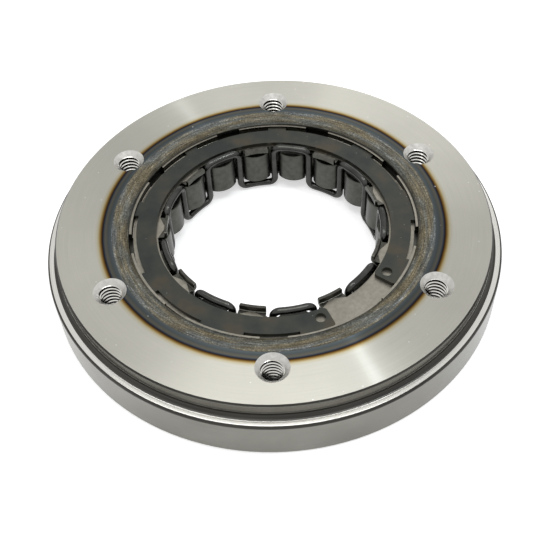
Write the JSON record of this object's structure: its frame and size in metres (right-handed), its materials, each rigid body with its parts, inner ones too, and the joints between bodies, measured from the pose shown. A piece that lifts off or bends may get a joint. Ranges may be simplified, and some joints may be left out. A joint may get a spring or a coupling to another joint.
{
  "type": "sprag clutch",
  "caption": "Sprag one-way clutch: bolt-on outer race ring with a pilot step and tapped holes, holding a caged ring of tilting sprags, a meander spring and a snap ring round the hub bore.",
  "frame": {"origin": "on the clutch axis in the plane of the underside", "axes": "+Z along the clutch axis out of the bolt face, -Y through a bolt hole"},
  "size_m": [0.124, 0.124, 0.017],
  "materials": {
    "race_steel": "ground bearing steel, heat tinted straw to blue round the bore, with an unground hardened band inside it",
    "cage_steel": "satin cold-rolled sheet steel",
    "snap_steel": "dark phosphated spring steel, satin",
    "spring_steel": "smooth drawn spring wire, semi-bright",
    "sprag_steel": "fine tumbled bearing steel, satin"
  },
  "bodies": {
    "housing": {"clutch_housing": "race_steel", "sprag_cage": "cage_steel", "snap_ring": "snap_steel"},
    "spring": {"meander_spring": "spring_steel"},
    "sprag_01": {"sprag_01": "sprag_steel"},
    "sprag_02": {"sprag_02": "sprag_steel"},
    "sprag_03": {"sprag_03": "sprag_steel"},
    "sprag_04": {"sprag_04": "sprag_steel"},
    "sprag_05": {"sprag_05": "sprag_steel"},
    "sprag_06": {"sprag_06": "sprag_steel"},
    "sprag_07": {"sprag_07": "sprag_steel"},
    "sprag_08": {"sprag_08": "sprag_steel"},
    "sprag_09": {"sprag_09": "sprag_steel"},
    "sprag_10": {"sprag_10": "sprag_steel"},
    "sprag_11": {"sprag_11": "sprag_steel"},
    "sprag_12": {"sprag_12": "sprag_steel"},
    "sprag_13": {"sprag_13": "sprag_steel"},
    "sprag_14": {"sprag_14": "sprag_steel"},
    "sprag_15": {"sprag_15": "sprag_steel"},
    "sprag_16": {"sprag_16": "sprag_steel"},
    "sprag_17": {"sprag_17": "sprag_steel"},
    "sprag_18": {"sprag_18": "sprag_steel"}
  },
  "joints": [
    {"name": "sprag_01_tilt", "type": "hinge", "parent": "housing", "child": "sprag_01", "pos_m": [0.03079, 0.01242, 0.00833], "axis": [0, 0, 1], "range_deg": [0, 8], "stiffness_Nm_per_rad": 0.02, "springref_deg": -17.19},
    {"name": "sprag_02_tilt", "type": "hinge", "parent": "housing", "child": "sprag_02", "pos_m": [0.02468, 0.0222, 0.00833], "axis": [0, 0, 1], "range_deg": [0, 8]},
    {"name": "sprag_03_tilt", "type": "hinge", "parent": "housing", "child": "sprag_03", "pos_m": [0.0156, 0.02931, 0.00833], "axis": [0, 0, 1], "range_deg": [0, 8]},
    {"name": "sprag_04_tilt", "type": "hinge", "parent": "housing", "child": "sprag_04", "pos_m": [0.00464, 0.03287, 0.00833], "axis": [0, 0, 1], "range_deg": [0, 8]},
    {"name": "sprag_05_tilt", "type": "hinge", "parent": "housing", "child": "sprag_05", "pos_m": [-0.00689, 0.03248, 0.00833], "axis": [0, 0, 1], "range_deg": [0, 8]},
    {"name": "sprag_06_tilt", "type": "hinge", "parent": "housing", "child": "sprag_06", "pos_m": [-0.01758, 0.02816, 0.00833], "axis": [0, 0, 1], "range_deg": [0, 8]},
    {"name": "sprag_07_tilt", "type": "hinge", "parent": "housing", "child": "sprag_07", "pos_m": [-0.02615, 0.02045, 0.00833], "axis": [0, 0, 1], "range_deg": [0, 8]},
    {"name": "sprag_08_tilt", "type": "hinge", "parent": "housing", "child": "sprag_08", "pos_m": [-0.03157, 0.01028, 0.00833], "axis": [0, 0, 1], "range_deg": [0, 8]},
    {"name": "sprag_09_tilt", "type": "hinge", "parent": "housing", "child": "sprag_09", "pos_m": [-0.03318, -0.00114, 0.00833], "axis": [0, 0, 1], "range_deg": [0, 8]},
    {"name": "sprag_10_tilt", "type": "hinge", "parent": "housing", "child": "sprag_10", "pos_m": [-0.03079, -0.01242, 0.00833], "axis": [0, 0, 1], "range_deg": [0, 8]},
    {"name": "sprag_11_tilt", "type": "hinge", "parent": "housing", "child": "sprag_11", "pos_m": [-0.02468, -0.0222, 0.00833], "axis": [0, 0, 1], "range_deg": [0, 8]},
    {"name": "sprag_12_tilt", "type": "hinge", "parent": "housing", "child": "sprag_12", "pos_m": [-0.0156, -0.02931, 0.00833], "axis": [0, 0, 1], "range_deg": [0, 8]},
    {"name": "sprag_13_tilt", "type": "hinge", "parent": "housing", "child": "sprag_13", "pos_m": [-0.00464, -0.03287, 0.00833], "axis": [0, 0, 1], "range_deg": [0, 8]},
    {"name": "sprag_14_tilt", "type": "hinge", "parent": "housing", "child": "sprag_14", "pos_m": [0.00689, -0.03248, 0.00833], "axis": [0, 0, 1], "range_deg": [0, 8]},
    {"name": "sprag_15_tilt", "type": "hinge", "parent": "housing", "child": "sprag_15", "pos_m": [0.01758, -0.02816, 0.00833], "axis": [0, 0, 1], "range_deg": [0, 8]},
    {"name": "sprag_16_tilt", "type": "hinge", "parent": "housing", "child": "sprag_16", "pos_m": [0.02615, -0.02045, 0.00833], "axis": [0, 0, 1], "range_deg": [0, 8]},
    {"name": "sprag_17_tilt", "type": "hinge", "parent": "housing", "child": "sprag_17", "pos_m": [0.03157, -0.01028, 0.00833], "axis": [0, 0, 1], "range_deg": [0, 8]},
    {"name": "sprag_18_tilt", "type": "hinge", "parent": "housing", "child": "sprag_18", "pos_m": [0.03318, 0.00114, 0.00833], "axis": [0, 0, 1], "range_deg": [0, 8]},
    {"name": "spring_turn", "type": "hinge", "parent": "housing", "child": "spring", "pos_m": [0, 0, 0.00833], "axis": [0, 0, 1], "range_deg": [-0.83, 0]}
  ],
  "couplings": [
    {"joint": "sprag_02_tilt", "follows": "sprag_01_tilt", "ratio": 1},
    {"joint": "sprag_03_tilt", "follows": "sprag_01_tilt", "ratio": 1},
    {"joint": "sprag_04_tilt", "follows": "sprag_01_tilt", "ratio": 1},
    {"joint": "sprag_05_tilt", "follows": "sprag_01_tilt", "ratio": 1},
    {"joint": "sprag_06_tilt", "follows": "sprag_01_tilt", "ratio": 1},
    {"joint": "sprag_07_tilt", "follows": "sprag_01_tilt", "ratio": 1},
    {"joint": "sprag_08_tilt", "follows": "sprag_01_tilt", "ratio": 1},
    {"joint": "sprag_09_tilt", "follows": "sprag_01_tilt", "ratio": 1},
    {"joint": "sprag_10_tilt", "follows": "sprag_01_tilt", "ratio": 1},
    {"joint": "sprag_11_tilt", "follows": "sprag_01_tilt", "ratio": 1},
    {"joint": "sprag_12_tilt", "follows": "sprag_01_tilt", "ratio": 1},
    {"joint": "sprag_13_tilt", "follows": "sprag_01_tilt", "ratio": 1},
    {"joint": "sprag_14_tilt", "follows": "sprag_01_tilt", "ratio": 1},
    {"joint": "sprag_15_tilt", "follows": "sprag_01_tilt", "ratio": 1},
    {"joint": "sprag_16_tilt", "follows": "sprag_01_tilt", "ratio": 1},
    {"joint": "sprag_17_tilt", "follows": "sprag_01_tilt", "ratio": 1},
    {"joint": "sprag_18_tilt", "follows": "sprag_01_tilt", "ratio": 1},
    {"joint": "spring_turn", "follows": "sprag_01_tilt", "ratio": -0.10299}
  ]
}
